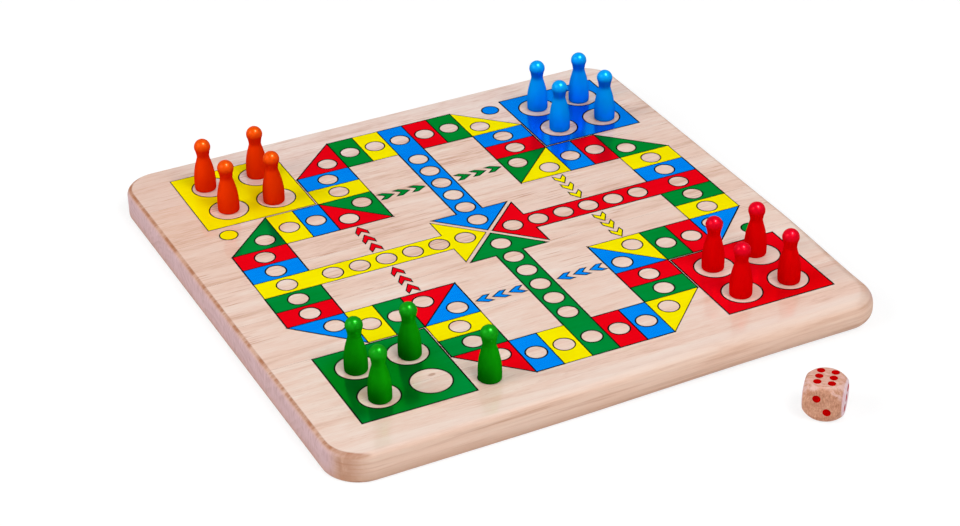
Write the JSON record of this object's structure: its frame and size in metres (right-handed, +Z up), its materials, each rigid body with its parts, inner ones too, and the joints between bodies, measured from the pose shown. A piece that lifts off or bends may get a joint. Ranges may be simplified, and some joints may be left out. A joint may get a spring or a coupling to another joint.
{
  "type": "wooden race board game",
  "caption": "Square wooden game board with rounded corners and edges and a printed race track with corner bases, with turned pawns standing on it and a wooden die beside it.",
  "frame": {"origin": "centre of the board's underside, on the surface that the board lies on", "axes": "+Z up, through the board to its printed face; +X to the right along the front edge and along the wood's grain; -Y is the near side, where the die lies"},
  "size_m": [0.3, 0.3626, 0.0458],
  "materials": {
    "board_wood": "satin clear lacquer",
    "paint_orange": "glossy paint on wood",
    "paint_blue": "glossy paint on wood",
    "paint_red": "glossy paint on wood",
    "paint_green": "glossy paint on wood",
    "die_wood": "sanded, thin clear lacquer",
    "ink_red": "screen-printed ink under clear lacquer",
    "ink_green": "screen-printed ink under clear lacquer",
    "ink_yellow": "screen-printed ink under clear lacquer",
    "ink_blue": "screen-printed ink under clear lacquer",
    "ink_line": "screen-printed ink under clear lacquer",
    "pip_paint": "red paint in shallow pips"
  },
  "bodies": {
    "board": {"board_stave_1": "board_wood", "board_stave_2": "board_wood", "board_stave_3": "board_wood", "board_stave_4": "board_wood", "board_stave_5": "board_wood", "board_stave_6": "board_wood", "board_stave_7": "board_wood"},
    "pawn_orange_1": {"pawn_orange_1": "paint_orange"},
    "pawn_orange_2": {"pawn_orange_2": "paint_orange"},
    "pawn_orange_3": {"pawn_orange_3": "paint_orange"},
    "pawn_orange_4": {"pawn_orange_4": "paint_orange"},
    "pawn_blue_1": {"pawn_blue_1": "paint_blue"},
    "pawn_blue_2": {"pawn_blue_2": "paint_blue"},
    "pawn_blue_3": {"pawn_blue_3": "paint_blue"},
    "pawn_blue_4": {"pawn_blue_4": "paint_blue"},
    "pawn_red_1": {"pawn_red_1": "paint_red"},
    "pawn_red_2": {"pawn_red_2": "paint_red"},
    "pawn_red_3": {"pawn_red_3": "paint_red"},
    "pawn_red_4": {"pawn_red_4": "paint_red"},
    "pawn_green_1": {"pawn_green_1": "paint_green"},
    "pawn_green_2": {"pawn_green_2": "paint_green"},
    "pawn_green_3": {"pawn_green_3": "paint_green"},
    "pawn_green_4": {"pawn_green_4": "paint_green"},
    "die": {"die": "die_wood"}
  },
  "joints": [
    {"name": "pawn_orange_1_lift", "type": "slide", "parent": "board", "child": "pawn_orange_1", "axis": [0, 0, 1], "range_m": [0, 0.05]},
    {"name": "pawn_orange_2_lift", "type": "slide", "parent": "board", "child": "pawn_orange_2", "axis": [0, 0, 1], "range_m": [0, 0.05]},
    {"name": "pawn_orange_3_lift", "type": "slide", "parent": "board", "child": "pawn_orange_3", "axis": [0, 0, 1], "range_m": [0, 0.05]},
    {"name": "pawn_orange_4_lift", "type": "slide", "parent": "board", "child": "pawn_orange_4", "axis": [0, 0, 1], "range_m": [0, 0.05]},
    {"name": "pawn_blue_1_lift", "type": "slide", "parent": "board", "child": "pawn_blue_1", "axis": [0, 0, 1], "range_m": [0, 0.05]},
    {"name": "pawn_blue_2_lift", "type": "slide", "parent": "board", "child": "pawn_blue_2", "axis": [0, 0, 1], "range_m": [0, 0.05]},
    {"name": "pawn_blue_3_lift", "type": "slide", "parent": "board", "child": "pawn_blue_3", "axis": [0, 0, 1], "range_m": [0, 0.05]},
    {"name": "pawn_blue_4_lift", "type": "slide", "parent": "board", "child": "pawn_blue_4", "axis": [0, 0, 1], "range_m": [0, 0.05]},
    {"name": "pawn_red_1_lift", "type": "slide", "parent": "board", "child": "pawn_red_1", "axis": [0, 0, 1], "range_m": [0, 0.05]},
    {"name": "pawn_red_2_lift", "type": "slide", "parent": "board", "child": "pawn_red_2", "axis": [0, 0, 1], "range_m": [0, 0.05]},
    {"name": "pawn_red_3_lift", "type": "slide", "parent": "board", "child": "pawn_red_3", "axis": [0, 0, 1], "range_m": [0, 0.05]},
    {"name": "pawn_red_4_lift", "type": "slide", "parent": "board", "child": "pawn_red_4", "axis": [0, 0, 1], "range_m": [0, 0.05]},
    {"name": "pawn_green_1_lift", "type": "slide", "parent": "board", "child": "pawn_green_1", "axis": [0, 0, 1], "range_m": [0, 0.05]},
    {"name": "pawn_green_2_lift", "type": "slide", "parent": "board", "child": "pawn_green_2", "axis": [0, 0, 1], "range_m": [0, 0.05]},
    {"name": "pawn_green_3_lift", "type": "slide", "parent": "board", "child": "pawn_green_3", "axis": [0, 0, 1], "range_m": [0, 0.05]},
    {"name": "pawn_green_4_lift", "type": "slide", "parent": "board", "child": "pawn_green_4", "axis": [0, 0, 1], "range_m": [0, 0.05]},
    {"name": "die_lift", "type": "slide", "parent": "board", "child": "die", "axis": [0, 0, 1], "range_m": [0, 0.05]}
  ]
}
